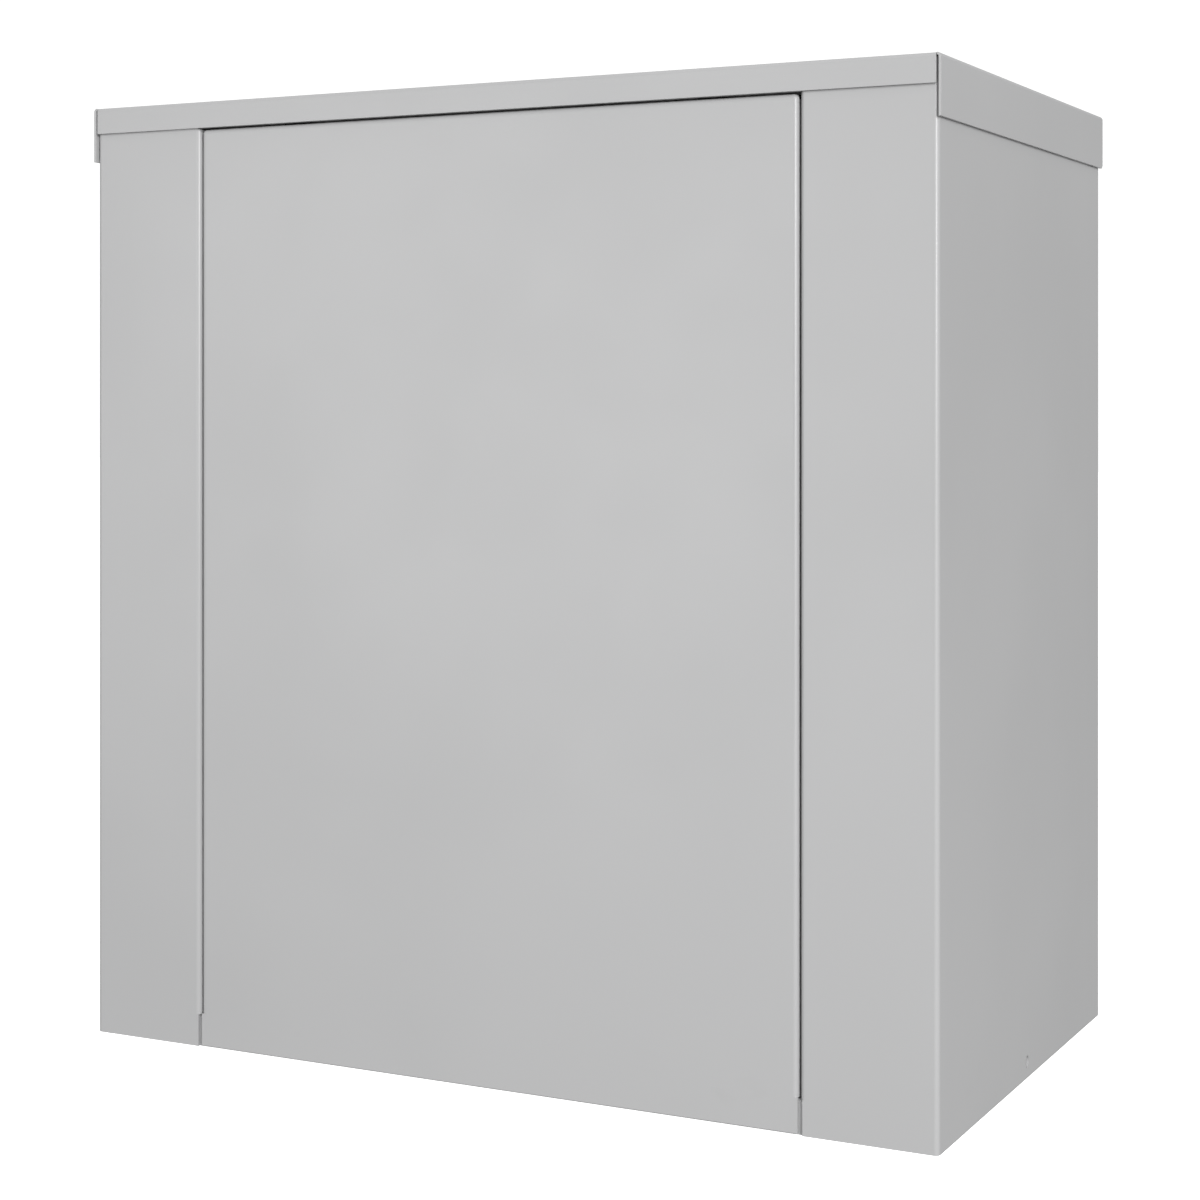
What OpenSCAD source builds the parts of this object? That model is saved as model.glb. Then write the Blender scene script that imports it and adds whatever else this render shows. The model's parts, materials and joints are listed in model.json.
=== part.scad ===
// Free-standing sheet-steel switchboard cabinet with a flush hinged door, a loose roof cap
// and a mounting plate that carries the switchgear.
// Origin: centre of the footprint, at the level of the floor. Front is -Y, up is +Z.

/* [Cabinet] */
// Width of the cabinet body
body_w = 600; // [560:10:700]
// Depth of the cabinet body
body_d = 350; // [320:10:400]
// Overall height, to the top of the roof cap
total_h = 630; // [620:10:700]
// Thickness of the folded sheet
sheet = 1.5; // [1.2:0.1:1.5]
// Outer radius of the folds in the walls and the door
fold_r = 3; // [2.5:0.1:3.5]
// Height of the bottom tray, which is also the height at which the jamb folds stop
foot_h = 21; // [18:1:24]
// Diameter of the round hole in each side wall
side_hole_d = 7.5; // [6:0.5:8]

/* [Roof cap] */
// How far the cap stands proud of the walls
cap_proud = 2; // [2:0.1:3]
// Height of the front and rear skirts
cap_front_h = 17.5; // [15:0.5:18]
// Height of the side skirts
cap_side_h = 36.5; // [25:0.5:45]
// Outer radius of the cap's folds
cap_r = 2.5; // [2.5:0.1:3]
// Open slot between a front skirt's end and the side skirt
cap_slot = 1.5; // [1:0.1:2]

/* [Door] */
// Width of the door opening between the two fixed front strips
opening_w = 430; // [400:5:450]
// Gap between the door and each strip
door_gap = 1.5; // [1.2:0.1:2]
// Gap between the door and each strip below the tray top, where nothing is folded
foot_gap = 3; // [1.8:0.1:3.5]
// How far each strip's edge stands back from the opening down there
foot_back = 1.4; // [0.4:0.1:2]
// Depth of the folded door edges
door_return = 16; // [12:1:17]
// Depth of the folded edges of the opening
jamb_d = 15; // [12:1:15]
// Clearance under the door
door_lift = 1; // [0.5:0.1:2]

/* [Hinges] */
// Distance of the hinge pin outside the opening
pin_out = 16; // [15:0.5:17]
// Depth of the hinge pin behind the front face
pin_deep = 7; // [7:0.1:7.5]
// Pin diameter
pin_d = 5; // [4:0.5:5]
// Height of each moving hinge arm
arm_h = 40; // [30:1:50]

/* [Mounting plate] */
// Width of the mounting plate
plate_w = 400; // [380:5:410]
// Gap between the mounting plate and the back panel
plate_gap = 22; // [18:1:30]
// Number of terminal blocks on the lower rail
terminal_count = 14; // [6:1:16]

/* [Hidden] */
$fn = 48;

// Colours
coat = [0.72, 0.72, 0.73];
zinc = [0.80, 0.81, 0.83];
steel = [0.65, 0.66, 0.68];
brass = [0.80, 0.66, 0.35];
copper = [0.78, 0.47, 0.30];
rubber = [0.10, 0.10, 0.10];
housing = [0.90, 0.90, 0.88];
duct_grey = [0.62, 0.65, 0.67];
black = [0.13, 0.13, 0.14];

// Half sizes and heights of the body
hx = body_w / 2;
hy = body_d / 2;
cap_under = total_h - sheet;
wall_top = cap_under - 0.5;
jamb_x = opening_w / 2;
rear_flange_w = 28;
jamb_top = total_h - cap_front_h - 0.5;

// Levels of the back panel, and of the plate in front of it
back_in = hy - 2 * sheet;
plate_back = back_in - plate_gap;
plate_t = 2;
plate_y = plate_back - plate_t;
plate_z0 = 50;
plate_z1 = total_h - 50;
plate_stud_x = plate_w / 2 - 12;
plate_stud_z = [plate_z0 + 12, plate_z1 - 12];
stud_r = 4;
wall_hole_x = 240;
wall_hole_z = [90, 570];
wall_hole_r = 4.5;
rivet_x = hx - 16;
rivet_z = [50, 210, 400, 560];
rivet_r = 1.6;

// Roof cap
cap_x = hx + cap_proud;
cap_y = hy + cap_proud;
cap_bolt_x = 230;
cap_bolt_y = [-hy + 13, back_in - 19];
cap_stud_r = 3;

// Top rails
rail_web_z = cap_under - sheet;
front_rail_back = -hy + 24.5;
rear_rail_front = back_in - 37;

// Door
door_x = jamb_x - door_gap;
door_top = total_h - cap_front_h - 1;
door_in = -hy + sheet;
lip_x = jamb_x + foot_back - foot_gap;
lip_top = foot_h + 1;
stiffener_z = 330;
pocket_x = 112;
pocket_z = [150, 290];
pocket_d = 27.5;
pocket_wall = 2;
buffer_x = 150;

// Hinges
pin_x = -jamb_x - pin_out;
pin_y = -hy + pin_deep;
hinge_z = [120, 500];
ear_t = 3;
ear_gap = 0.5;
ear_r = pin_deep - sheet;
arm_t = 3;
arm_in_r = 21.3;
knuckle_r = 4.5;
arm_stud = [38, 12];
arm_start = 150;

// Lock, below the door's right-hand corner and keyed from underneath
lock_x = 193;
lock_y = -hy + 23;
shelf_z = 30;
barrel_r = 9.3;
barrel_z = [27, 46];
plug_r = 5;
spindle_r = 3.5;
cam_z = barrel_z[1] + 0.3;
cam_t = 3;
cam_w = 12;
cam_len = 32;

// Bottom tray and its cable entry
tray_front = hy - 2;
tray_r = 2.5;
gland_x = 120;
gland_y = [-10, 90];
gland_edge = 10;
grommet_x = 70;
grommet_r = 16;
grommet_y = 40;
key_hole_r = 10;
frame_stud = [-150, -40];

// Rails and modular devices
upper_rail_z = 370;
lower_rail_z = 215;
rail_x = 150;
rail_screw_x = 135;
rail_d = 7.5;
module_w = 17.5;
module_pitch = 17.8;
nose_d = 66;
shoulder_d = 44;
nose_half = 22.5;
body_half = 42.5;
toggle_d = 58;
hub_r = 8;
toggle_reach = 20;
toggle_rest = 35;
rcd_x = [-115, -45];
rcd_toggle_x = -62;
rcd_toggle_w = 20;
rcd_button_x = -97;
breaker_x = -42;
breaker_toggle_w = 9;

// Main switch
switch_x = 45;
switch_z = 500;
switch_half = 65;
switch_d = 70;
switch_nose_d = 78;
switch_pivot_d = 58;
switch_toggle_w = 22;
switch_rest = 20;
trip_x = 30;
trip_z = switch_z - 30;
button_r = 3;

// Ducts and bars
duct_w = 35;
duct_d = 50;
duct_wall = 1.6;
duct_z = [85, 545];
duct_pitch = 12.5;
bar_z = 118;
bar_len = 120;
bar_d = 24;
bar_x = [-bar_len - 20, 20];
duct_x = plate_w / 2 - 5 - duct_w / 2;
middle_duct_len = 2 * (duct_x - duct_w / 2 - 14);
middle_duct_z = 292;
terminal_w = 8;
terminal_x0 = -terminal_count * terminal_w / 2;

// ---- Helpers ----------------------------------------------------------------

// A flat leg of a folded section
module leg(x0, y0, x1, y1) {
    translate([x0, y0]) square([x1 - x0, y1 - y0]);
}

// The quarter ring of a fold, in the quadrant that sx and sy point to
module fold(sx, sy, r) {
    intersection() {
        difference() {
            circle(r);
            circle(r - sheet);
        }
        translate([sx > 0 ? 0 : -r, sy > 0 ? 0 : -r]) square(r);
    }
}

// Extrusions of a section drawn in YZ along X, and of an outline drawn in XZ along Y
module along_x(x0, len) {
    translate([x0, 0, 0]) rotate([90, 0, 90]) linear_extrude(len) children();
}

module along_y(y0, len) {
    translate([0, y0 + len, 0]) rotate([90, 0, 0]) linear_extrude(len) children();
}

module along_z(z0, len) {
    translate([0, 0, z0]) linear_extrude(len) children();
}

module rod_x(pos, r, len) {
    translate(pos) rotate([0, 90, 0]) cylinder(r = r, h = len);
}

module rod_y(pos, r, len) {
    translate(pos) rotate([-90, 0, 0]) cylinder(r = r, h = len);
}

module rod_z(pos, r, len) {
    translate(pos) cylinder(r = r, h = len);
}

module block(low, high) {
    translate(low) cube(high - low);
}

// ---- Body shell -------------------------------------------------------------

module side_wall_section(folded) {
    leg(hx - sheet, -hy + fold_r, hx, hy - fold_r);
    translate([hx - fold_r, -hy + fold_r]) fold(1, -1, fold_r);
    translate([hx - fold_r, hy - fold_r]) fold(1, 1, fold_r);
    leg(hx - rear_flange_w, hy - sheet, hx - fold_r, hy);
    leg(jamb_x + fold_r, -hy, hx - fold_r, -hy + sheet);
    if (folded) {
        translate([jamb_x + fold_r, -hy + fold_r]) fold(-1, -1, fold_r);
        leg(jamb_x, -hy + fold_r, jamb_x + sheet, -hy + jamb_d);
    } else {
        leg(jamb_x + foot_back, -hy, jamb_x + fold_r, -hy + sheet);
    }
}

module side_panel() {
    color(coat) difference() {
        union() {
            along_z(0, foot_h) side_wall_section(false);
            along_z(foot_h, jamb_top - foot_h) side_wall_section(true);
            along_z(jamb_top, wall_top - jamb_top) side_wall_section(false);
        }
        rod_x([hx - 5, 0, foot_h / 2], side_hole_d / 2, 10);
        for (z = rivet_z) rod_y([rivet_x, hy - 5, z], rivet_r + 0.05, 10);
    }
}

module right_side_panel() {
    side_panel();
}

module left_side_panel() {
    mirror([1, 0, 0]) side_panel();
}

module back_panel() {
    color(coat) difference() {
        block([-hx + fold_r, back_in, 0], [hx - fold_r, back_in + sheet, wall_top]);
        for (x = [-wall_hole_x, wall_hole_x], z = wall_hole_z)
            rod_y([x, back_in - 5, z], wall_hole_r, 10);
        for (x = [-rivet_x, rivet_x], z = rivet_z)
            rod_y([x, back_in - 5, z], rivet_r + 0.05, 10);
    }
}

module back_panel_rivets() {
    color(zinc) for (x = [-rivet_x, rivet_x], z = rivet_z) {
        rod_y([x, back_in, z], rivet_r, 2 * sheet);
        rod_y([x, back_in - 2, z], 2.4, 2);
        translate([x, hy, z]) rotate([-90, 0, 0]) cylinder(r1 = 3.2, r2 = 2.2, h = 1.1);
    }
}

// One flange of a folded-down tray: a fold and a straight leg, run along X between two ends
module drop_flange(half_len, edge, top, r, depth) {
    along_x(-half_len, 2 * half_len) {
        translate([-edge + r, top - r]) fold(-1, 1, r);
        leg(-edge, top - depth, -edge + sheet, top - r);
    }
}

module bottom_tray() {
    side = hx - sheet;
    color(coat) difference() {
        union() {
            block([-side + tray_r, -tray_front + tray_r, foot_h - sheet],
                  [side - tray_r, back_in - tray_r, foot_h]);
            drop_flange(side - tray_r, tray_front, foot_h, tray_r, foot_h);
            rotate(180) drop_flange(side - tray_r, back_in, foot_h, tray_r, foot_h);
            for (turn = [-90, 90])
                rotate(turn) drop_flange(back_in - tray_r, side, foot_h, tray_r, foot_h);
        }
        block([-gland_x + gland_edge, gland_y[0] + gland_edge, 0],
              [gland_x - gland_edge, gland_y[1] - gland_edge, foot_h + 1]);
        rod_z([lock_x, lock_y, 10], key_hole_r, 20);
        for (x = [-gland_x + 5, gland_x - 5], y = [gland_y[0] + 5, gland_y[1] - 5])
            rod_z([x, y, 10], 2, 20);
        rod_z([frame_stud[0], frame_stud[1], 10], 3, 20);
    }
}

module gland_plate() {
    color(zinc) difference() {
        block([-gland_x, gland_y[0], foot_h], [gland_x, gland_y[1], foot_h + sheet]);
        for (x = [-grommet_x, 0, grommet_x])
            rod_z([x, grommet_y, foot_h - 1], grommet_r, 5);
        for (x = [-gland_x + 5, gland_x - 5], y = [gland_y[0] + 5, gland_y[1] - 5])
            rod_z([x, y, 10], 2.2, 20);
    }
}

module gland_plate_screws() {
    color(zinc) for (x = [-gland_x + 5, gland_x - 5], y = [gland_y[0] + 5, gland_y[1] - 5])
        difference() {
            union() {
                rod_z([x, y, foot_h - 5], 2, sheet + 6);
                rod_z([x, y, foot_h + sheet], 4, 2.6);
            }
            block([x - 2.6, y - 0.5, foot_h + sheet + 1.4], [x + 2.6, y + 0.5, foot_h + 9]);
            block([x - 0.5, y - 2.6, foot_h + sheet + 1.4], [x + 0.5, y + 2.6, foot_h + 9]);
        }
}

// Rubber grommet: a collar on the plate, a spigot through it and a closed stepped membrane
module cable_grommets() {
    color(rubber) for (x = [-grommet_x, 0, grommet_x])
        translate([x, grommet_y, foot_h])
            rotate_extrude() polygon([
                [0, 3.5], [5, 3.5], [8, 2], [12, 2], [12, -3], [grommet_r - 1, -3],
                [grommet_r - 0.1, 0], [grommet_r - 0.1, sheet], [grommet_r + 3, sheet],
                [grommet_r + 2, 4], [14, 5], [9, 3.8], [6, 5.5], [0, 5.5]
            ]);
}

module roof_cap() {
    flat_x = cap_x - cap_r;
    flat_y = cap_y - cap_r;
    skirt_end = cap_x - sheet - cap_slot;
    corner = 3;
    color(coat) difference() {
        union() {
            block([-flat_x, -flat_y, cap_under], [flat_x, flat_y, total_h]);
            for (turn = [0, 180])
                rotate(turn) drop_flange(skirt_end, cap_y, total_h, cap_r, cap_front_h);
            for (turn = [-90, 90])
                rotate(turn) drop_flange(cap_y - 0.3, cap_x, total_h, cap_r, cap_side_h);
        }
        // The lower rear corner of each side skirt is cut off at 45 degrees
        translate([-cap_x - 5, cap_y - 0.3, total_h - cap_side_h]) rotate([45, 0, 0])
            translate([0, -corner / 2, -corner / 2]) cube([2 * cap_x + 10, corner, corner]);
    }
}

module roof_cap_nuts() {
    color(zinc) for (x = [-cap_bolt_x, cap_bolt_x], y = cap_bolt_y) {
        rod_z([x, y, cap_under - 16], cap_stud_r, 16);
        translate([x, y, rail_web_z - 6]) cylinder(r = 5.8, h = 5, $fn = 6);
        rod_z([x, y, rail_web_z - 1.2], 7, 1.2);
    }
}

// A channel rail under the cap: a web and two hanging flanges of their own depths
module channel_section(y0, y1, drop_front, drop_back) {
    leg(y0 + tray_r, rail_web_z, y1 - tray_r, cap_under);
    translate([y0 + tray_r, cap_under - tray_r]) fold(-1, 1, tray_r);
    translate([y1 - tray_r, cap_under - tray_r]) fold(1, 1, tray_r);
    leg(y0, cap_under - drop_front, y0 + sheet, cap_under - tray_r);
    leg(y1 - sheet, cap_under - drop_back, y1, cap_under - tray_r);
}

module top_rail(y0, y1, drop_front, drop_back, bolt_y) {
    color(coat) difference() {
        along_x(-hx + fold_r, body_w - 2 * fold_r)
            channel_section(y0, y1, drop_front, drop_back);
        for (x = [-cap_bolt_x, cap_bolt_x]) rod_z([x, bolt_y, cap_under - 8], cap_stud_r, 16);
    }
}

module top_front_rail() {
    top_rail(-hy + sheet, front_rail_back, cap_front_h - sheet, 34, cap_bolt_y[0]);
}

module top_rear_rail() {
    top_rail(rear_rail_front, back_in, 16, 28, cap_bolt_y[1]);
}

// ---- Door -------------------------------------------------------------------

module door_panel() {
    flat_x = door_x - fold_r;
    flat_z = door_top - fold_r;
    color(coat) union() {
        block([-flat_x, -hy, foot_h], [flat_x, door_in, flat_z]);
        block([-lip_x, -hy, door_lift], [lip_x, door_in, lip_top]);
        // Side edges, top edge and the two rounded corners between them
        for (side = [0, 1]) mirror([side, 0, 0]) {
            along_z(lip_top, flat_z - lip_top) {
                translate([flat_x, -hy + fold_r]) fold(1, -1, fold_r);
                leg(door_x - sheet, -hy + fold_r, door_x, -hy + door_return);
            }
            translate([flat_x, -hy + fold_r, flat_z]) intersection() {
                difference() {
                    sphere(fold_r);
                    sphere(fold_r - sheet);
                }
                translate([0, -fold_r, 0]) cube(fold_r);
            }
        }
        along_x(-flat_x, 2 * flat_x) {
            translate([-hy + fold_r, flat_z]) fold(-1, 1, fold_r);
            leg(-hy + fold_r, door_top - sheet, -hy + door_return, door_top);
        }
    }
}

module door_stiffener() {
    crown = 13.5;
    color(coat) along_x(-door_x + 15, 2 * door_x - 30) {
        for (side = [0, 1]) translate([0, stiffener_z]) mirror([0, side]) {
            leg(door_in, 12, door_in + sheet, 24);
            leg(door_in, 10.5, door_in + crown, 12);
            leg(door_in + crown - sheet, 0, door_in + crown, 12);
        }
    }
}

// Rubber blocks on the front rail that the closed door rests against
module door_buffers() {
    color(rubber) for (x = [-buffer_x, buffer_x]) {
        block([x - 8, -hy + door_return + 0.3, door_top - 8],
              [x + 8, front_rail_back - sheet, door_top + 4]);
    }
}

module document_pocket() {
    y1 = door_in + pocket_d;
    color([0.20, 0.21, 0.23]) difference() {
        block([-pocket_x, door_in, pocket_z[0]], [pocket_x, y1, pocket_z[1]]);
        block([-pocket_x + pocket_wall, door_in + pocket_wall, pocket_z[0] + pocket_wall],
              [pocket_x - pocket_wall, y1 - pocket_wall, pocket_z[1] + 1]);
        // The front wall is cut down in the middle so that papers can be gripped
        block([-60, y1 - pocket_wall - 1, pocket_z[1] - 45], [60, y1 + 1, pocket_z[1] + 1]);
    }
}

// Hinge parts are drawn about the pin, at height zero
module hinge_bracket(z) {
    ear_z = arm_h / 2 + ear_gap;
    reach = 32;
    color(zinc) translate([pin_x, pin_y, z]) {
        along_z(-ear_z - ear_t, 2 * (ear_z + ear_t))
            leg(-reach, -ear_r, -7, -ear_r + 2);
        for (side = [0, 1]) mirror([0, 0, side]) along_z(ear_z, ear_t) difference() {
            union() {
                leg(-reach, -ear_r, 0, ear_r);
                circle(ear_r);
            }
            circle(pin_d / 2);
        }
    }
}

module upper_hinge_bracket() {
    hinge_bracket(hinge_z[1]);
}

module lower_hinge_bracket() {
    hinge_bracket(hinge_z[0]);
}

module hinge_pins() {
    ear_top = arm_h / 2 + ear_gap + ear_t;
    color(steel) for (z = hinge_z) translate([pin_x, pin_y, z]) {
        rod_z([0, 0, -ear_top - 2], pin_d / 2, 2 * ear_top + 2);
        rod_z([0, 0, ear_top], 4, 2);
    }
}

// Goose-neck arm: an eye on the pin, a spoke, an arc that reaches round the jamb and a foot
module hinge_arm(z) {
    far = 60;
    foot_end = 55;
    color(zinc) translate([pin_x, pin_y, z]) difference() {
        along_z(-arm_h / 2, arm_h) difference() {
            union() {
                circle(knuckle_r);
                rotate(arm_start) leg(0, -arm_t / 2, arm_in_r + 1, arm_t / 2);
                intersection() {
                    difference() {
                        circle(arm_in_r + arm_t);
                        circle(arm_in_r);
                    }
                    polygon([[0, 0], [far, 0], [far, far], [-far, far],
                             [far * cos(arm_start), far * sin(arm_start)]]);
                }
                leg(arm_in_r, -ear_r, arm_in_r + arm_t, 0);
                leg(arm_in_r, -ear_r, foot_end, -ear_r + arm_t);
            }
            circle(pin_d / 2 + 0.05);
        }
        for (side = [-1, 1]) rod_y([arm_stud[0], -ear_r - 1, side * arm_stud[1]], 2.5, 9);
    }
}

module upper_hinge_arm() {
    hinge_arm(hinge_z[1]);
}

module lower_hinge_arm() {
    hinge_arm(hinge_z[0]);
}

module hinge_arm_nuts() {
    color(zinc) for (z = hinge_z, side = [-1, 1])
        translate([pin_x + arm_stud[0], pin_y - ear_r, z + side * arm_stud[1]]) {
            rod_y([0, 0, 0], 2.5, 10);
            translate([0, arm_t, 0]) rotate([-90, 0, 0]) cylinder(r = 4.6, h = 4, $fn = 6);
        }
}

module lock_bracket() {
    shelf_x = [lock_x - 20, door_x - fold_r - 0.5];
    color(zinc) difference() {
        along_x(shelf_x[0], shelf_x[1] - shelf_x[0]) {
            leg(door_in, shelf_z + fold_r, door_in + sheet, shelf_z + 30);
            translate([door_in + fold_r, shelf_z + fold_r]) fold(-1, -1, fold_r);
            leg(door_in + fold_r, shelf_z, lock_y + 13, shelf_z + sheet);
        }
        rod_z([lock_x, lock_y, shelf_z - 5], barrel_r, 20);
    }
}

module lock_barrel() {
    color(steel) difference() {
        union() {
            rod_z([lock_x, lock_y, barrel_z[0]], barrel_r, barrel_z[1] - barrel_z[0]);
            rod_z([lock_x, lock_y, barrel_z[0]], barrel_r + 2, shelf_z - barrel_z[0]);
        }
        rod_z([lock_x, lock_y, 0], plug_r + 0.05, 100);
    }
}

module lock_nut() {
    color(zinc) translate([lock_x, lock_y, shelf_z + sheet]) difference() {
        cylinder(r = 13.5, h = 5, $fn = 6);
        rod_z([0, 0, -1], barrel_r, 10);
    }
}

module lock_plug() {
    color(brass) translate([lock_x, lock_y, 0]) difference() {
        union() {
            rod_z([0, 0, barrel_z[0]], plug_r, barrel_z[1] - barrel_z[0]);
            rod_z([0, 0, barrel_z[1]], spindle_r, cam_t + 0.3);
        }
        block([-0.9, -3.6, 0], [0.9, 3.6, barrel_z[0] + 8]);
        rod_z([0, 0, barrel_z[1] - 8], 1.5, 20);
    }
}

// The cam points to the rear when it is unlocked
module lock_cam() {
    color(zinc) along_z(cam_z, cam_t) translate([lock_x, lock_y]) difference() {
        union() {
            circle(8);
            leg(-cam_w / 2, 0, cam_w / 2, cam_len - cam_w / 2);
            translate([0, cam_len - cam_w / 2]) circle(cam_w / 2);
        }
        circle(spindle_r);
    }
}

module lock_cam_screw() {
    color(zinc) translate([lock_x, lock_y, cam_z + cam_t]) difference() {
        union() {
            rod_z([0, 0, 0], 5.5, 3);
            rod_z([0, 0, -10], 1.5, 10);
        }
        block([-6, -0.6, 1.8], [6, 0.6, 5]);
    }
}

module earth_stud() {
    color(brass) {
        rod_z([0, 0, 0], 3, 20);
        rod_z([0, 0, 2], 7.5, 1.5);
        translate([0, 0, 3.5]) cylinder(r = 5.8, h = 5, $fn = 6);
    }
}

module frame_earth_stud() {
    translate([frame_stud[0], frame_stud[1], foot_h - 2]) earth_stud();
}

module door_earth_stud() {
    translate([-175, door_in, 45]) rotate([-90, 0, 0]) earth_stud();
}

// ---- Mounting plate ---------------------------------------------------------

module rail_screw_places() {
    for (x = [-rail_screw_x, rail_screw_x], z = [upper_rail_z, lower_rail_z])
        translate([x, 0, z]) children();
}

module mounting_plate() {
    color(zinc) difference() {
        block([-plate_w / 2, plate_y, plate_z0], [plate_w / 2, plate_back, plate_z1]);
        for (x = [-plate_stud_x, plate_stud_x], z = plate_stud_z)
            rod_y([x, plate_y - 5, z], stud_r, 15);
        rail_screw_places() rod_y([0, plate_y - 5, 0], 2.5, 15);
    }
}

module plate_studs() {
    color(steel) for (x = [-plate_stud_x, plate_stud_x], z = plate_stud_z) {
        rod_y([x, plate_y - 13, z], stud_r, back_in - plate_y + 13);
        rod_y([x, plate_back, z], 8, plate_gap);
    }
}

module plate_nuts() {
    color(zinc) for (x = [-plate_stud_x, plate_stud_x], z = plate_stud_z)
        translate([x, plate_y, z]) rotate([90, 0, 0]) difference() {
            union() {
                cylinder(r = 9, h = 1.6);
                cylinder(r = 7.5, h = 8, $fn = 6);
            }
            rod_z([0, 0, -1], stud_r, 12);
        }
}

module din_rail(z) {
    brim = 17.5;
    web = 13.5;
    color(zinc) difference() {
        along_x(-rail_x, 2 * rail_x) for (side = [0, 1]) translate([0, z]) mirror([0, side]) {
            leg(plate_y - 1, 0, plate_y, web);
            leg(plate_y - rail_d, web - 1, plate_y, web);
            leg(plate_y - rail_d, web - 1, plate_y - rail_d + 1, brim);
        }
        rail_screw_places() rod_y([0, plate_y - 5, 0], 2.5, 15);
    }
}

module upper_din_rail() {
    din_rail(upper_rail_z);
}

module lower_din_rail() {
    din_rail(lower_rail_z);
}

module rail_screws() {
    color(zinc) rail_screw_places() difference() {
        union() {
            rod_y([0, plate_y - 1, 0], 2.5, 8);
            rod_y([0, plate_y - 4, 0], 4.6, 3);
        }
        block([-3, plate_y - 5, -0.6], [3, plate_y - 2.6, 0.6]);
        block([-0.6, plate_y - 5, -3], [0.6, plate_y - 2.6, 3]);
    }
}

// Slotted duct, drawn upright at x = 0 and starting at height zero
module wire_duct(len) {
    half = duct_w / 2;
    slots = floor((len - duct_pitch) / duct_pitch);
    color(duct_grey) difference() {
        block([-half, plate_y - duct_d, 0], [half, plate_y, len]);
        block([-half + duct_wall, plate_y - duct_d - 1, -1],
              [half - duct_wall, plate_y - duct_wall, len + 1]);
        for (i = [0 : slots - 1])
            block([-half - 1, plate_y - duct_d - 1, (i + 1) * duct_pitch - 2.5],
                  [half + 1, plate_y - 14, (i + 1) * duct_pitch + 2.5]);
    }
}

module duct_cover(len) {
    half = duct_w / 2 + 1;
    y0 = plate_y - duct_d - 1.4;
    color(duct_grey) {
        block([-half, y0, 0], [half, y0 + 1.4, len]);
        for (side = [0, 1]) mirror([side, 0, 0])
            block([half - 1, y0, 0], [half, y0 + 8, len]);
    }
}

module place_left_duct() {
    translate([-duct_x, 0, duct_z[0]]) children();
}

module place_right_duct() {
    translate([duct_x, 0, duct_z[0]]) children();
}

module place_middle_duct() {
    translate([-middle_duct_len / 2, 0, middle_duct_z]) rotate([0, 90, 0]) children();
}

module left_wire_duct() {
    place_left_duct() wire_duct(duct_z[1] - duct_z[0]);
}

module right_wire_duct() {
    place_right_duct() wire_duct(duct_z[1] - duct_z[0]);
}

module middle_wire_duct() {
    place_middle_duct() wire_duct(middle_duct_len);
}

module wire_duct_covers() {
    place_left_duct() duct_cover(duct_z[1] - duct_z[0]);
    place_right_duct() duct_cover(duct_z[1] - duct_z[0]);
    place_middle_duct() duct_cover(middle_duct_len);
}

// ---- Switchgear -------------------------------------------------------------

// Housing of a device on the upper rail, between x0 and x0 + w, with screw wells every module
module modular_housing(x0, w) {
    poles = round(w / module_w);
    clip = 17.7;
    color(housing) difference() {
        along_x(x0, w) translate([plate_y, upper_rail_z]) difference() {
            polygon([
                [-2, -body_half], [-shoulder_d + 2, -body_half], [-shoulder_d, -body_half + 2],
                [-shoulder_d, -nose_half - 1], [-nose_d + 2, -nose_half], [-nose_d, -nose_half + 2],
                [-nose_d, nose_half - 2], [-nose_d + 2, nose_half], [-shoulder_d, nose_half + 1],
                [-shoulder_d, body_half - 2], [-shoulder_d + 2, body_half], [-2, body_half]
            ]);
            leg(-rail_d, -clip, 0, clip);
        }
        for (i = [0 : poles - 1], side = [-1, 1]) {
            pole_x = x0 + (i + 0.5) * w / poles;
            rod_y([pole_x, plate_y - shoulder_d - 5, upper_rail_z + side * 33], 3.2, 19);
            block([pole_x - 4, plate_y - 30, upper_rail_z + side * 38 - 6],
                  [pole_x + 4, plate_y - 20, upper_rail_z + side * 38 + 6]);
        }
        children();
    }
}

module toggle_slot(x, w) {
    block([x - w / 2 - 0.5, plate_y - nose_d - 1, upper_rail_z - 12],
          [x + w / 2 + 0.5, plate_y - toggle_d + hub_r + 0.5, upper_rail_z + 12]);
}

// Toggle lever, hanging down (off) at rest
module toggle(x, w) {
    along_x(x - w / 2, w) translate([plate_y - toggle_d, upper_rail_z]) {
        circle(hub_r);
        rotate(toggle_rest) {
            leg(-toggle_reach + 2.2, -2.2, 0, 2.2);
            translate([-toggle_reach + 2.2, 0]) circle(2.2);
        }
    }
}

module rcd_body() {
    modular_housing(rcd_x[0], rcd_x[1] - rcd_x[0]) {
        toggle_slot(rcd_toggle_x, rcd_toggle_w);
        rod_y([rcd_button_x, plate_y - nose_d - 1, upper_rail_z], button_r + 0.35, 11);
    }
}

module rcd_toggle() {
    color(black) toggle(rcd_toggle_x, rcd_toggle_w);
}

module rcd_test_button() {
    color([0.85, 0.75, 0.25])
        rod_y([rcd_button_x, plate_y - nose_d - 2.5, upper_rail_z], button_r, 8.5);
}

module breaker_body(i) {
    x0 = breaker_x + (i - 1) * module_pitch;
    modular_housing(x0, module_w) toggle_slot(x0 + module_w / 2, breaker_toggle_w);
}

module breaker_toggle(i) {
    color(black) toggle(breaker_x + (i - 1) * module_pitch + module_w / 2, breaker_toggle_w);
}

// Insulated comb busbar under the four breakers, its tongues in their lower clamps
module comb_busbar() {
    z0 = upper_rail_z - body_half - 12;
    color(copper) {
        block([breaker_x, plate_y - 31, z0], [breaker_x + 4 * module_pitch, plate_y - 19, z0 + 8]);
        for (i = [0 : 3]) {
            x = breaker_x + i * module_pitch + module_w / 2;
            block([x - 2.5, plate_y - 26, z0 + 8], [x + 2.5, plate_y - 24, z0 + 20]);
        }
    }
}

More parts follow.
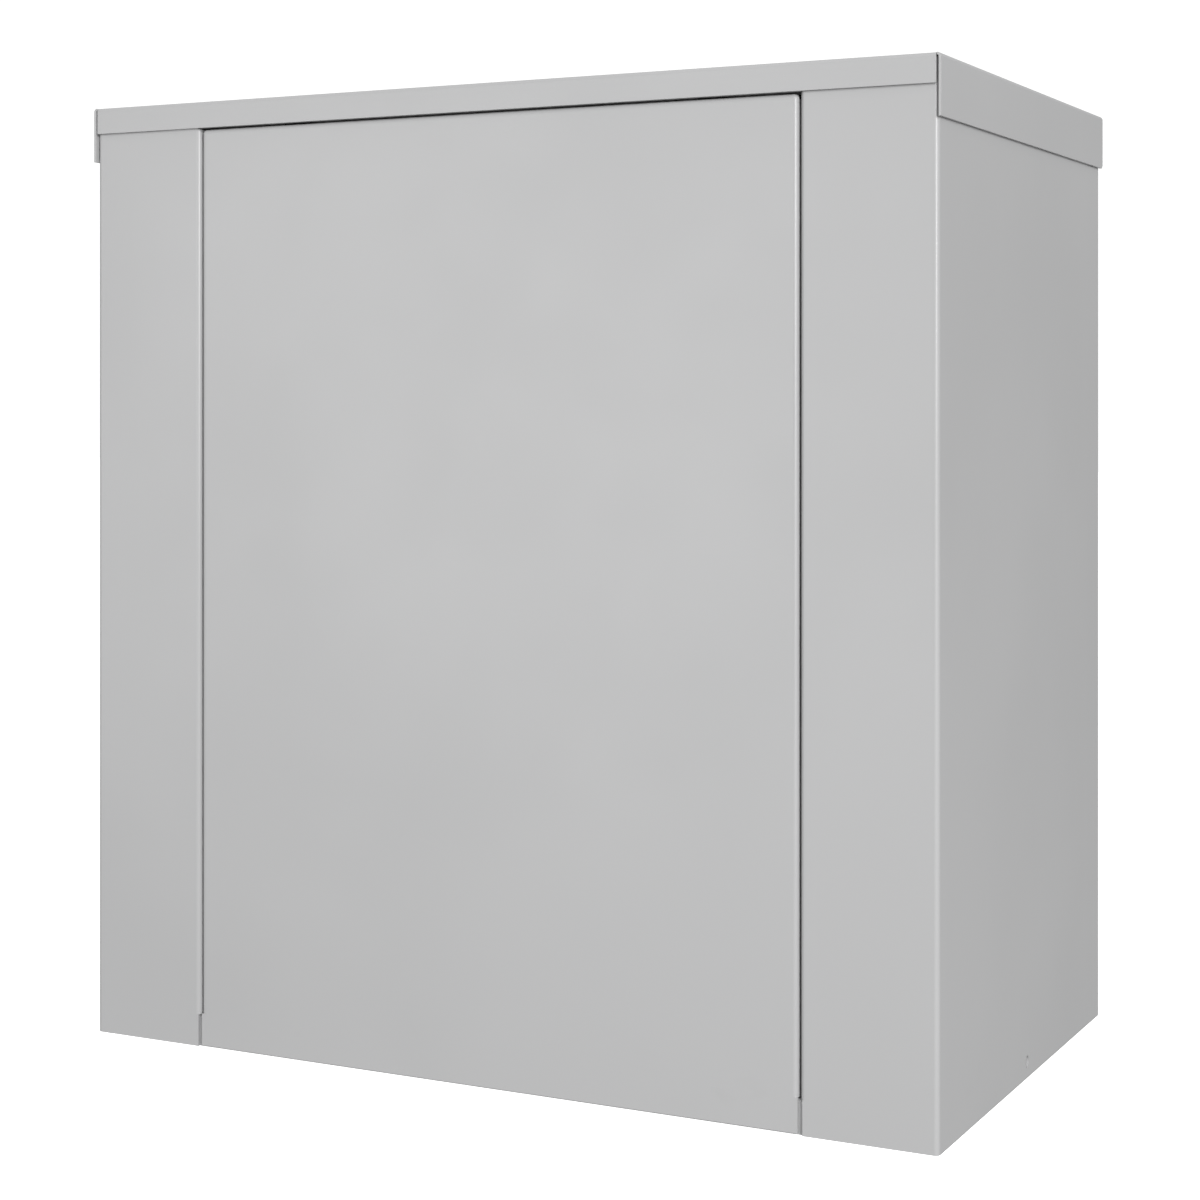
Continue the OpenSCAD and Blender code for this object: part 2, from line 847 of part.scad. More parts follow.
module main_switch_body() {
    color(black) difference() {
        union() {
            block([-switch_x, plate_y - switch_d, switch_z - switch_half],
                  [switch_x, plate_y, switch_z + switch_half]);
            block([-switch_x, plate_y - switch_nose_d, switch_z - 42],
                  [switch_x, plate_y - switch_d, switch_z + 42]);
        }
        block([-switch_toggle_w / 2 - 0.6, plate_y - switch_nose_d - 1, switch_z - 22],
              [switch_toggle_w / 2 + 0.6, plate_y - switch_pivot_d + 16, switch_z + 22]);
        rod_y([trip_x, plate_y - switch_nose_d - 1, trip_z], button_r + 0.35, 12);
        for (x = [-30, 0, 30], side = [-1, 1]) {
            translate([x, 0, switch_z + side * switch_half])
                block([-10, plate_y - 62, -12], [10, plate_y - 18, 12]);
            rod_y([x, plate_y - switch_d - 1, switch_z + side * 58], 4.5, 15);
        }
        // Hollows at the corners for the fixing screws
        for (x = [-15, 15], side = [-1, 1])
            rod_y([x, plate_y - switch_d - 1, switch_z + side * 50], 3, 50);
    }
}

module main_switch_toggle() {
    reach = 42;
    color(black) along_x(-switch_toggle_w / 2, switch_toggle_w)
        translate([plate_y - switch_pivot_d, switch_z]) {
            circle(15);
            rotate(switch_rest) {
                leg(-reach + 4, -4.5, 0, 4.5);
                translate([-reach + 4.5, 0]) circle(4.5);
            }
        }
}

module main_switch_trip_button() {
    color([0.75, 0.15, 0.12])
        rod_y([trip_x, plate_y - switch_nose_d - 2, trip_z], button_r, 9);
}

module terminal_blocks() {
    tall = 26;
    deep = 46;
    color(duct_grey) for (i = [0 : terminal_count - 1]) difference() {
        along_x(terminal_x0 + i * terminal_w, terminal_w - 0.2)
            translate([plate_y, lower_rail_z]) difference() {
                polygon([
                    [-2, -tall], [-30, -tall], [-deep + 6, -18], [-deep + 6, -9], [-deep, -9],
                    [-deep, 9], [-deep + 6, 9], [-deep + 6, 18], [-30, tall], [-2, tall]
                ]);
                leg(-rail_d, -17.7, 0, 17.7);
            }
        for (side = [-1, 1]) {
            rod_y([terminal_x0 + (i + 0.5) * terminal_w - 0.1, plate_y - deep, lower_rail_z + side * 13.5],
                  2.4, 18);
        }
    }
}

module end_stops() {
    color(duct_grey) for (x = [terminal_x0 - 10, -terminal_x0 + 1]) difference() {
        along_x(x, 9) translate([plate_y, lower_rail_z]) difference() {
            polygon([[-2, -21], [-26, -21], [-32, -15], [-32, 15], [-26, 21], [-2, 21]]);
            leg(-rail_d, -17.7, 0, 17.7);
        }
        rod_y([x + 4.5, plate_y - 33, lower_rail_z], 2.5, 12);
    }
}

module bar_feet() {
    color([0.16, 0.30, 0.62]) for (x = bar_x, end = [8, bar_len - 20])
        block([x + end, plate_y - bar_d + 10, bar_z - 8], [x + end + 12, plate_y, bar_z + 8]);
}

// Clamp bar with a wire hole and a crossing screw hole at each place
module clamp_bar(x0) {
    places = 8;
    color(brass) difference() {
        block([x0, plate_y - bar_d, bar_z - 5], [x0 + bar_len, plate_y - bar_d + 10, bar_z + 5]);
        for (i = [0 : places - 1]) {
            x = x0 + (i + 0.5) * bar_len / places;
            rod_z([x, plate_y - bar_d + 6, bar_z - 10], 2.6, 20);
            rod_y([x, plate_y - bar_d - 1, bar_z], 2, 7);
        }
    }
}

module neutral_bar() {
    clamp_bar(bar_x[0]);
}

module earth_bar() {
    clamp_bar(bar_x[1]);
}

// ---- Assembly ---------------------------------------------------------------

left_side_panel();
right_side_panel();
back_panel();
back_panel_rivets();
bottom_tray();
gland_plate();
gland_plate_screws();
cable_grommets();
roof_cap();
roof_cap_nuts();
top_front_rail();
top_rear_rail();
door_panel();
door_stiffener();
door_buffers();
document_pocket();
upper_hinge_bracket();
lower_hinge_bracket();
hinge_pins();
upper_hinge_arm();
lower_hinge_arm();
hinge_arm_nuts();
lock_bracket();
lock_barrel();
lock_nut();
lock_plug();
lock_cam();
lock_cam_screw();
door_earth_stud();
frame_earth_stud();
mounting_plate();
plate_studs();
plate_nuts();
upper_din_rail();
lower_din_rail();
rail_screws();
left_wire_duct();
right_wire_duct();
middle_wire_duct();
wire_duct_covers();
main_switch_body();
main_switch_toggle();
main_switch_trip_button();
rcd_body();
rcd_toggle();
rcd_test_button();
breaker_body(1);  // breaker_body_1
breaker_body(2);  // breaker_body_2
breaker_body(3);  // breaker_body_3
breaker_body(4);  // breaker_body_4
breaker_toggle(1);  // breaker_toggle_1
breaker_toggle(2);  // breaker_toggle_2
breaker_toggle(3);  // breaker_toggle_3
breaker_toggle(4);  // breaker_toggle_4
comb_busbar();
terminal_blocks();
end_stops();
bar_feet();
neutral_bar();
earth_bar();
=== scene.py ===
"""Looks of the switchboard cabinet: finishes, small moulded and pressed details, and a plain studio."""
import json
import math

import bmesh
import bpy
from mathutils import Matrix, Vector


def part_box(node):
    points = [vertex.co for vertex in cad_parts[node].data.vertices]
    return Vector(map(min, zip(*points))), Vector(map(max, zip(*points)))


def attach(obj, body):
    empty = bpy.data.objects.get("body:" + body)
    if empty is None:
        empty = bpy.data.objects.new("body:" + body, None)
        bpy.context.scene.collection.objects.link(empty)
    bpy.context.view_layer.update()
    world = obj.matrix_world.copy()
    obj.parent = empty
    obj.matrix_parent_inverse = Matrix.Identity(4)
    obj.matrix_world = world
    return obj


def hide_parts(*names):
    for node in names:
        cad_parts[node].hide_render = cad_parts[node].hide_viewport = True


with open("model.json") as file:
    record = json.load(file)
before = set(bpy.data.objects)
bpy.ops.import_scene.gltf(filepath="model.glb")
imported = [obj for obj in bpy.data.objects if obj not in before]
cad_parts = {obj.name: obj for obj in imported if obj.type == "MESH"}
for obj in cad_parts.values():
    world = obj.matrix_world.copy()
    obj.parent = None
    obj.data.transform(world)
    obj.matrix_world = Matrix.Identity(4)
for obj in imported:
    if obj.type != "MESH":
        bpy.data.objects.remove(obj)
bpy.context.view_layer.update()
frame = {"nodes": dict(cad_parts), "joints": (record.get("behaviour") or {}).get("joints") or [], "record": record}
nodes = frame["nodes"]

MM = 0.001  # a millimetre in metres; every mesh helper below takes millimetres

# ---- Camera -----------------------------------------------------------------

CAMERA_PLACE = (0.7364, -1.4728, 0.4332)  # metres
CAMERA_TURN = 26.588  # degrees round the vertical
CAMERA_LENS = 71.33  # millimetres, on a sensor 36 wide
CAMERA_SHIFT = (-0.0037, -0.1691)  # shares of the sensor's width


def make_camera():
    """A level camera off the front right corner, with the vertical edges kept parallel by the shift."""
    data = bpy.data.cameras.new("camera")
    data.sensor_width = 36
    data.lens = CAMERA_LENS
    data.shift_x, data.shift_y = CAMERA_SHIFT
    data.clip_end = 50
    camera = bpy.data.objects.new("camera", data)
    camera.location = CAMERA_PLACE
    camera.rotation_euler = (math.radians(90), 0, math.radians(CAMERA_TURN))
    bpy.context.scene.collection.objects.link(camera)
    bpy.context.scene.camera = camera


make_camera()


# ---- Materials --------------------------------------------------------------


class Finish:
    """A principled material with helpers that wire small procedural textures into it."""

    def __init__(self, name, color, rough, metal=0.0):
        self.material = bpy.data.materials.new(name)
        self.material.use_nodes = True
        tree = self.material.node_tree
        self.nodes, self.links = tree.nodes, tree.links
        self.shader = self.nodes["Principled BSDF"]
        self.shader.inputs["Metallic"].default_value = metal
        self.shader.inputs["Base Color"].default_value = (*color, 1)
        self.shader.inputs["Roughness"].default_value = rough
        self.color = color
        self.place = self.add("ShaderNodeTexCoord").outputs["Object"]

    def add(self, kind, **settings):
        node = self.nodes.new(kind)
        for key, value in settings.items():
            setattr(node, key, value)
        return node

    def stretch(self, x, y, z):
        """The object's coordinates, scaled apart along each axis."""
        node = self.add("ShaderNodeMapping")
        node.inputs["Scale"].default_value = (x, y, z)
        self.links.new(self.place, node.inputs["Vector"])
        return node.outputs["Vector"]

    def noise(self, scale, detail=2.0, vector=None):
        node = self.add("ShaderNodeTexNoise")
        node.inputs["Scale"].default_value = scale
        node.inputs["Detail"].default_value = detail
        self.links.new(vector or self.place, node.inputs["Vector"])
        return node.outputs["Fac"]

    def cells(self, scale, output="Color"):
        node = self.add("ShaderNodeTexVoronoi")
        node.inputs["Scale"].default_value = scale
        self.links.new(self.place, node.inputs["Vector"])
        return node.outputs[output]

    def span(self, value, low_in, high_in, low_out, high_out):
        """Maps one range of a value smoothly on another, and clamps it there."""
        node = self.add("ShaderNodeMapRange", interpolation_type="SMOOTHSTEP")
        for socket, number in zip(
            ("From Min", "From Max", "To Min", "To Max"),
            (low_in, high_in, low_out, high_out),
        ):
            node.inputs[socket].default_value = number
        self.links.new(value, node.inputs["Value"])
        return node.outputs["Result"]

    def maths(self, operation, a, b):
        node = self.add("ShaderNodeMath", operation=operation)
        for socket, value in zip(node.inputs, (a, b)):
            if isinstance(value, (int, float)):
                socket.default_value = value
            else:
                self.links.new(value, socket)
        return node.outputs["Value"]

    def mix(self, factor, a, b):
        """Blends two colours, each a tuple or a socket."""
        node = self.add("ShaderNodeMix", data_type="RGBA")
        self.links.new(factor, node.inputs["Factor"])
        for socket, value in ((node.inputs[6], a), (node.inputs[7], b)):
            if isinstance(value, tuple):
                socket.default_value = (*value, 1)
            else:
                self.links.new(value, socket)
        return node.outputs[2]

    def shade(self, factor):
        """The base colour times a factor."""
        return tuple(min(1.0, c * factor) for c in self.color)

    def paint(self, color):
        self.links.new(color, self.shader.inputs["Base Color"])

    def gloss(self, value):
        self.links.new(value, self.shader.inputs["Roughness"])

    def emboss(self, edge, *layers):
        """Softens sharp edges to a radius in metres, then chains bumps: (height, strength, depth)."""
        soft = self.add("ShaderNodeBevel", samples=4)
        soft.inputs["Radius"].default_value = edge
        normal = soft.outputs["Normal"]
        for height, strength, depth in layers:
            bump = self.add("ShaderNodeBump")
            bump.inputs["Strength"].default_value = strength
            bump.inputs["Distance"].default_value = depth
            self.links.new(height, bump.inputs["Height"])
            self.links.new(normal, bump.inputs["Normal"])
            normal = bump.outputs["Normal"]
        self.links.new(normal, self.shader.inputs["Normal"])


def powder_coat():
    """Satin light grey powder: soft blotches, orange peel, a few dust specks and rubs low down."""
    f = Finish("powder_coat", (0.455, 0.456, 0.459), 0.32)
    cloud = f.span(f.noise(3.2, 3.0), 0.35, 0.65, 0.0, 1.0)
    grey = f.mix(cloud, f.shade(0.975), f.shade(1.015))
    height = f.add("ShaderNodeSeparateXYZ")
    f.links.new(f.place, height.inputs["Vector"])
    low = f.span(height.outputs["Z"], 0.0, 0.05, 1.0, 0.0)
    rubs = f.span(f.noise(26, 5.0, f.stretch(1, 1, 2.4)), 0.60, 0.74, 0.0, 0.35)
    grey = f.mix(f.maths("MULTIPLY", low, rubs), grey, f.shade(0.92))
    specks = f.span(f.cells(150, "Distance"), 0.02, 0.07, 0.35, 0.0)
    sparse = f.span(f.noise(38, 1.0), 0.68, 0.74, 0.0, 1.0)
    grey = f.mix(f.maths("MULTIPLY", specks, sparse), grey, f.shade(0.75))
    f.paint(grey)
    f.gloss(f.span(f.noise(9, 3.0), 0.3, 0.7, 0.30, 0.36))
    f.emboss(0.0004, (f.noise(7.0, 2.0), 0.25, 0.0010), (f.noise(1100, 2.0), 0.15, 0.00005))
    return f.material


def galvanised():
    """Hot-dip zinc with faint crystals and rolling marks."""
    f = Finish("galvanised", (0.62, 0.63, 0.65), 0.4, 1.0)
    crystals = f.add("ShaderNodeSeparateColor")
    f.links.new(f.cells(95), crystals.inputs["Color"])
    tone = crystals.outputs["Red"]
    f.paint(f.mix(tone, f.shade(0.93), f.shade(1.05)))
    grain = f.noise(60, 4.0, f.stretch(1, 1, 12))
    f.gloss(f.maths("ADD", f.span(tone, 0.0, 1.0, 0.33, 0.42), f.span(grain, 0.3, 0.7, -0.03, 0.05)))
    f.emboss(0.0002, (grain, 0.06, 0.0001), (tone, 0.05, 0.00005))
    return f.material


def turned_metal(name, color, rough, tarnish, scale=140):
    """Plated or machined metal: fine scratches and a thin uneven film."""
    f = Finish(name, color, rough, 1.0)
    film = f.span(f.noise(scale, 3.0), 0.3, 0.8, 0.0, 1.0)
    f.paint(f.mix(film, f.shade(1.03), tarnish))
    scratches = f.noise(900, 3.0, f.stretch(1, 6, 1))
    f.gloss(f.span(f.maths("ADD", film, scratches), 0.3, 1.7, rough - 0.06, rough + 0.14))
    f.emboss(0.0002, (scratches, 0.10, 0.00004))
    return f.material


def moulding(name, color, rough, grain=1400, depth=0.00005):
    """Moulded or extruded plastic: spark-eroded grain and slight flow marks."""
    f = Finish(name, color, rough)
    flow = f.span(f.noise(22, 3.0), 0.35, 0.65, 0.0, 1.0)
    f.paint(f.mix(flow, f.shade(0.94), f.shade(1.03)))
    f.gloss(f.span(f.noise(60, 2.0), 0.3, 0.7, rough - 0.05, rough + 0.07))
    f.emboss(0.0004, (f.noise(grain, 2.0), 0.35, depth))
    return f.material


def soft_rubber():
    """Matt black rubber with a bloom on it."""
    f = Finish("rubber", (0.020, 0.020, 0.021), 0.72)
    bloom = f.span(f.noise(48, 4.0), 0.45, 0.75, 0.0, 1.0)
    f.paint(f.mix(bloom, f.color, (0.05, 0.05, 0.052)))
    f.gloss(f.span(bloom, 0.0, 1.0, 0.62, 0.80))
    f.emboss(0.0005, (f.noise(700, 2.0), 0.3, 0.00008))
    return f.material


FINISHES = {
    "powder_coat": powder_coat(),
    "galvanised": galvanised(),
    "zinc_fastener": turned_metal("zinc_fastener", (0.68, 0.69, 0.72), 0.28, (0.56, 0.57, 0.62)),
    "lock_steel": turned_metal("lock_steel", (0.60, 0.60, 0.61), 0.24, (0.50, 0.50, 0.52)),
    "brass": turned_metal("brass", (0.72, 0.57, 0.31), 0.32, (0.63, 0.48, 0.24), 60),
    "copper": turned_metal("copper", (0.74, 0.44, 0.31), 0.32, (0.62, 0.35, 0.23), 60),
    "rubber": soft_rubber(),
    "pocket_plastic": moulding("pocket_plastic", (0.075, 0.078, 0.085), 0.50),
    "duct_plastic": moulding("duct_plastic", (0.33, 0.36, 0.39), 0.52, 800, 0.00003),
    "device_housing": moulding("device_housing", (0.66, 0.66, 0.62), 0.40),
    "black_plastic": moulding("black_plastic", (0.022, 0.022, 0.024), 0.38),
    "red_plastic": moulding("red_plastic", (0.50, 0.025, 0.02), 0.32),
    "yellow_plastic": moulding("yellow_plastic", (0.72, 0.46, 0.03), 0.34),
    "terminal_plastic": moulding("terminal_plastic", (0.36, 0.36, 0.32), 0.46),
    "blue_plastic": moulding("blue_plastic", (0.03, 0.10, 0.42), 0.42),
}


def finish_cad_nodes():
    slots = {s["node"]: s["material_slot"] for s in frame["record"]["subparts"]}
    for name, cad in nodes.items():
        for slot in cad.material_slots:
            slot.material = FINISHES[slots[name]]


finish_cad_nodes()


# ---- Mesh helpers -----------------------------------------------------------


def ring_outline(radius, steps=32, start=0.0, turn=2 * math.pi):
    """Points on a circle or an arc, counter-clockwise; a full circle isn't closed twice."""
    last = steps if turn >= 2 * math.pi - 1e-6 else steps - 1
    return [
        Vector((radius * math.cos(start + turn * i / last), radius * math.sin(start + turn * i / last)))
        for i in range(steps)
    ]


def card_outline(width, height, corner, middle=(0, 0), steps=5):
    """A rectangle with round corners, counter-clockwise."""
    points = []
    for quarter, (sx, sy) in enumerate(((1, 1), (-1, 1), (-1, -1), (1, -1))):
        centre = Vector((middle[0] + sx * (width / 2 - corner), middle[1] + sy * (height / 2 - corner)))
        points += [centre + p for p in ring_outline(corner, steps, quarter * math.pi / 2, math.pi / 2)]
    return points


def inset(outline, depth):
    """Moves every point of a counter-clockwise outline inwards."""
    moved = []
    for i, point in enumerate(outline):
        before = (point - outline[i - 1]).normalized()
        after = (outline[(i + 1) % len(outline)] - point).normalized()
        along = (before + after).normalized()
        lean = max(0.5, along.dot(before))
        moved.append(point + Vector((-along.y, along.x)) * depth / lean)
    return moved


def front(x, y, z):
    """A place on a face that looks out of the door: u is right, v is up and w is towards the front."""
    return lambda u, v, w: Vector((x + u, y - w, z + v)) * MM


def side(x, y, z, angle=0.0):
    """A place on a section across the width: u is back, v is up and w is right, turned by an angle."""
    c, s = math.cos(angle), math.sin(angle)
    return lambda u, v, w: Vector((x + w, y + c * u - s * v, z + s * u + c * v)) * MM


def above(x, y, z):
    """A place on a level face: u is right, v is back and w is up."""
    return lambda u, v, w: Vector((x + u, y + v, z + w)) * MM


def loft(mesh, rings, closed=False):
    """Joins rings of points of equal length with quads, and caps the ends or joins them."""
    loops = [[mesh.verts.new(p) for p in ring] for ring in rings]
    pairs = list(zip(loops, loops[1:])) + ([(loops[-1], loops[0])] if closed else [])
    for lower, upper in pairs:
        for i in range(len(lower)):
            j = (i + 1) % len(lower)
            mesh.faces.new((lower[i], lower[j], upper[j], upper[i]))
    if not closed:
        mesh.faces.new(loops[0][::-1])
        mesh.faces.new(loops[-1])


def slab(mesh, place, outline, low, high, edge=0.25):
    """A closed slab of an outline between two levels, with both rims chamfered."""
    levels = ((low, edge), (low + edge, 0), (high - edge, 0), (high, edge))
    loft(mesh, [[place(p.x, p.y, w) for p in inset(outline, d)] for w, d in levels])


def collar(mesh, place, outline, thickness, low, high, edge=0.25):
    """A raised rim round an outline, from its inner side outwards."""
    outer, inner = -thickness, 0.0
    profile = (
        (inner, low), (inner, high - edge), (inner - edge, high),
        (outer + edge, high), (outer, high - edge), (outer, low),
    )
    loft(mesh, [[place(p.x, p.y, w) for p in inset(outline, d)] for d, w in profile], closed=True)


def screw_head(mesh, place, radius, low, high, arms=2, slot=0.9, recess=1.0):
    """A screw head with a cross (2 arms) or a slot (1 arm), made of a disc and its raised sectors."""
    slab(mesh, place, ring_outline(radius), low, high - recess, 0.05)
    half = slot / 2
    lean = math.asin(half / radius)
    parts = 2 * arms
    for i in range(parts):
        start = i * 2 * math.pi / parts
        sweep = 2 * math.pi / parts
        points = ring_outline(radius, 18, start + lean, sweep - 2 * lean)
        if arms == 2:
            middle = start + sweep / 2
            points.append(Vector((math.cos(middle), math.sin(middle))) * half * math.sqrt(2))
        slab(mesh, place, points, high - recess, high, 0.2)


def piece(name, mesh, slot, body, replaced=()):
    """Turns a built mesh into a piece that rides on a body."""
    bmesh.ops.recalc_face_normals(mesh, faces=mesh.faces)
    data = bpy.data.meshes.new(name)
    mesh.to_mesh(data)
    mesh.free()
    data.polygons.foreach_set("use_smooth", [True] * len(data.polygons))
    data.set_sharp_from_angle(angle=math.radians(32))
    data.materials.append(FINISHES[slot])
    thing = bpy.data.objects.new(name, data)
    bpy.context.scene.collection.objects.link(thing)
    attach(thing, body)
    if replaced:
        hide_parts(*replaced)
    return thing


def box_mm(node):
    """A CAD node's lowest and highest corners in millimetres."""
    low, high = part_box(node)
    return low / MM, high / MM


# ---- Modular devices --------------------------------------------------------

MODULE = 17.5  # width of one pole
WELL_Z = 33  # a terminal well, above or below the housing's middle
WELL_DEPTH = 28  # the well's floor, from the housing's rail side
CLAMP_DEPTHS = (27.4, 21.2)  # the two jaws of a wire clamp, from the rail side
CLAMP_SHIFT = 4.2  # how much farther from the middle than the well the jaws are
LEVER_SLOT_H = 24.4  # height of the opening that a lever's rim goes round
CATCH_DEPTH = 5.2  # the rail foot's catch, from the rail side
RCD_LEVER_W = 20
BREAKER_LEVER_W = 9
# Radius of the hub, length from the pivot, half thickness at root and tip, degrees of the turn at rest
MODULAR_LEVER = {"hub": 7.9, "reach": 20, "root": 3.2, "tip": 2.0, "rest": 35}


def device_poles(low, high):
    """The middle of each pole across a modular housing."""
    poles = round((high.x - low.x) / MODULE)
    return [low.x + (i + 0.5) * (high.x - low.x) / poles for i in range(poles)]


def dress_device(node, label, slot_x, slot_w):
    """Terminal screws, wire clamps, a rim round the lever and a rail foot for one device."""
    low, high = box_mm(node)
    middle_z = (low.z + high.z) / 2
    well_floor = high.y - WELL_DEPTH

    screws = bmesh.new()
    clamps = bmesh.new()
    for x in device_poles(low, high):
        for end in (-1, 1):
            seat = front(x, well_floor, middle_z + end * WELL_Z)
            screw_head(screws, seat, 2.85, 0.0, 2.8)
            for depth in CLAMP_DEPTHS:
                jaw = front(x, high.y - depth, middle_z + end * (WELL_Z + CLAMP_SHIFT))
                slab(clamps, jaw, card_outline(7.4, 8.2, 0.6), -0.6, 0.6, 0.15)
    piece(f"{label}_terminal_screws", screws, "zinc_fastener", "cabinet")
    piece(f"{label}_wire_clamps", clamps, "zinc_fastener", "cabinet")

    trim = bmesh.new()
    opening = card_outline(slot_w + 1.2, LEVER_SLOT_H, 0.8)
    collar(trim, front(slot_x, low.y, middle_z), opening, 1.1, -0.3, 0.7)
    piece(f"{label}_lever_rim", trim, "device_housing", "cabinet")

    foot = bmesh.new()
    feet = [low.x + MODULE / 2, high.x - MODULE / 2] if high.x - low.x > 2 * MODULE else [slot_x]
    for x in feet:
        catch = front(x, high.y - CATCH_DEPTH, low.z - 1.6)
        collar(foot, catch, card_outline(4.2, 2.0, 0.5, (0, -1.2)), 2.2, 0.0, 2.4, 0.3)
    piece(f"{label}_rail_catch", foot, "black_plastic", "cabinet")


def device_label(name, node, x, z, width, height):
    """A blank card on a device's nose."""
    low, _ = box_mm(node)
    card = bmesh.new()
    slab(card, front(x, low.y, z), card_outline(width, height, 0.6), -0.15, 0.3, 0.1)
    piece(name, card, "device_housing", "cabinet")


def lever_outline(hub, reach, root, tip, ribs):
    """A lever's side view: a hub, a tapering arm along -u with ribs near its end, and a round tip."""
    lean = math.asin(root / hub)
    points = ring_outline(hub, 28, math.pi + lean, 2 * math.pi - 2 * lean)
    run = reach - tip - math.sqrt(hub * hub - root * root)
    start = -math.sqrt(hub * hub - root * root)

    def edge_half(t):
        rib = 0.35 * max(0.0, math.sin(2 * math.pi * ribs * (t - 0.4) / 0.55)) if 0.4 < t < 0.95 else 0.0
        return root + (tip - root) * t + rib

    steps = 8 * ribs
    for i in range(1, steps):
        t = i / steps
        points.append(Vector((start - run * t, edge_half(t))))
    for i in range(9):
        angle = math.pi / 2 + math.pi * i / 8
        points.append(Vector((start - run + tip * math.cos(angle), tip * math.sin(angle))))
    for i in range(steps - 1, 0, -1):
        t = i / steps
        points.append(Vector((start - run * t, -edge_half(t))))
    return points


def lever(name, node, body, width, hub, reach, root, tip, rest, ribs=3):
    """A moulded lever that stands for a plain CAD one; its joint gives the axis that it turns on."""
    joint = next(j for j in frame["joints"] if j["child"] == body)
    low, high = box_mm(node)
    pivot = Vector(joint["pos_m"]) / MM
    mesh = bmesh.new()
    place = side((low.x + high.x) / 2, pivot.y, pivot.z, math.radians(rest))
    slab(mesh, place, lever_outline(hub, reach, root, tip, ribs), -width / 2, width / 2, 0.35)
    piece(name, mesh, "black_plastic", body, [node])


def push_button(name, node, body, slot):
    """A turned button with a rounded rim that stands for a plain CAD one."""
    low, high = box_mm(node)
    radius = (high.x - low.x) / 2
    mesh = bmesh.new()
    place = front((low.x + high.x) / 2, high.y, (low.z + high.z) / 2)
    depth = high.y - low.y
    levels = ((0, 0.1), (0.2, 0), (depth - 0.8, 0), (depth - 0.35, 0.2), (depth - 0.05, 0.7), (depth, 1.4))
    loft(mesh, [[place(p.x, p.y, w) for p in inset(ring_outline(radius), d)] for w, d in levels])
    piece(name, mesh, slot, body, [node])


def dress_devices():
    lever("rcd_lever_moulding", "rcd_toggle", "rcd_lever", RCD_LEVER_W, **MODULAR_LEVER)
    rcd_low, rcd_high = box_mm("rcd_toggle")
    dress_device("rcd_body", "rcd", (rcd_low.x + rcd_high.x) / 2, RCD_LEVER_W)
    low, high = box_mm("rcd_body")
    device_label("rcd_type_card", "rcd_body", low.x + 20, low.z + 57.5, 32, 8)
    device_label("rcd_circuit_card", "rcd_body", low.x + 20, low.z + 27.5, 32, 8)
    button_low, button_high = box_mm("rcd_test_button")
    rim = bmesh.new()
    place = front((button_low.x + button_high.x) / 2, low.y, (button_low.z + button_high.z) / 2)
    collar(rim, place, ring_outline(3.4), 1.2, -0.3, 0.8)
    piece("rcd_button_rim", rim, "device_housing", "cabinet")
    push_button("rcd_test_button_cap", "rcd_test_button", "rcd_button", "yellow_plastic")

    for number in range(1, 5):
        node = f"breaker_body_{number}"
        low, high = box_mm(node)
        middle = (low.x + high.x) / 2
        dress_device(node, f"breaker_{number}", middle, BREAKER_LEVER_W)
        device_label(f"breaker_{number}_card", node, middle, low.z + 58.6, 14, 5.4)
        lever(
            f"breaker_{number}_lever_moulding", f"breaker_toggle_{number}", f"breaker_lever_{number}",
            BREAKER_LEVER_W, **MODULAR_LEVER,
        )


dress_devices()


# ---- Main switch ------------------------------------------------------------

# An X or a Z is a distance from the switch's middle and a DEPTH is a distance behind its front cover
COVER_SETBACK = 8  # the front cover, behind the foremost face of the body
POLE_X = 30
BETWEEN_POLES_X = 15
TERMINAL_Z = 58
TERMINAL_DEPTH = 14
PAD_Z = 59.2
PAD_DEPTH = 20
FIXING_Z = 50
FIXING_DEPTH = 49
BARRIER_Z = 69
BARRIER_DEPTH = 34
# The same measures as MODULAR_LEVER, and the number of ribs
SWITCH_LEVER = {"hub": 14.8, "reach": 42, "root": 6.2, "tip": 4.3, "rest": 20, "ribs": 5}


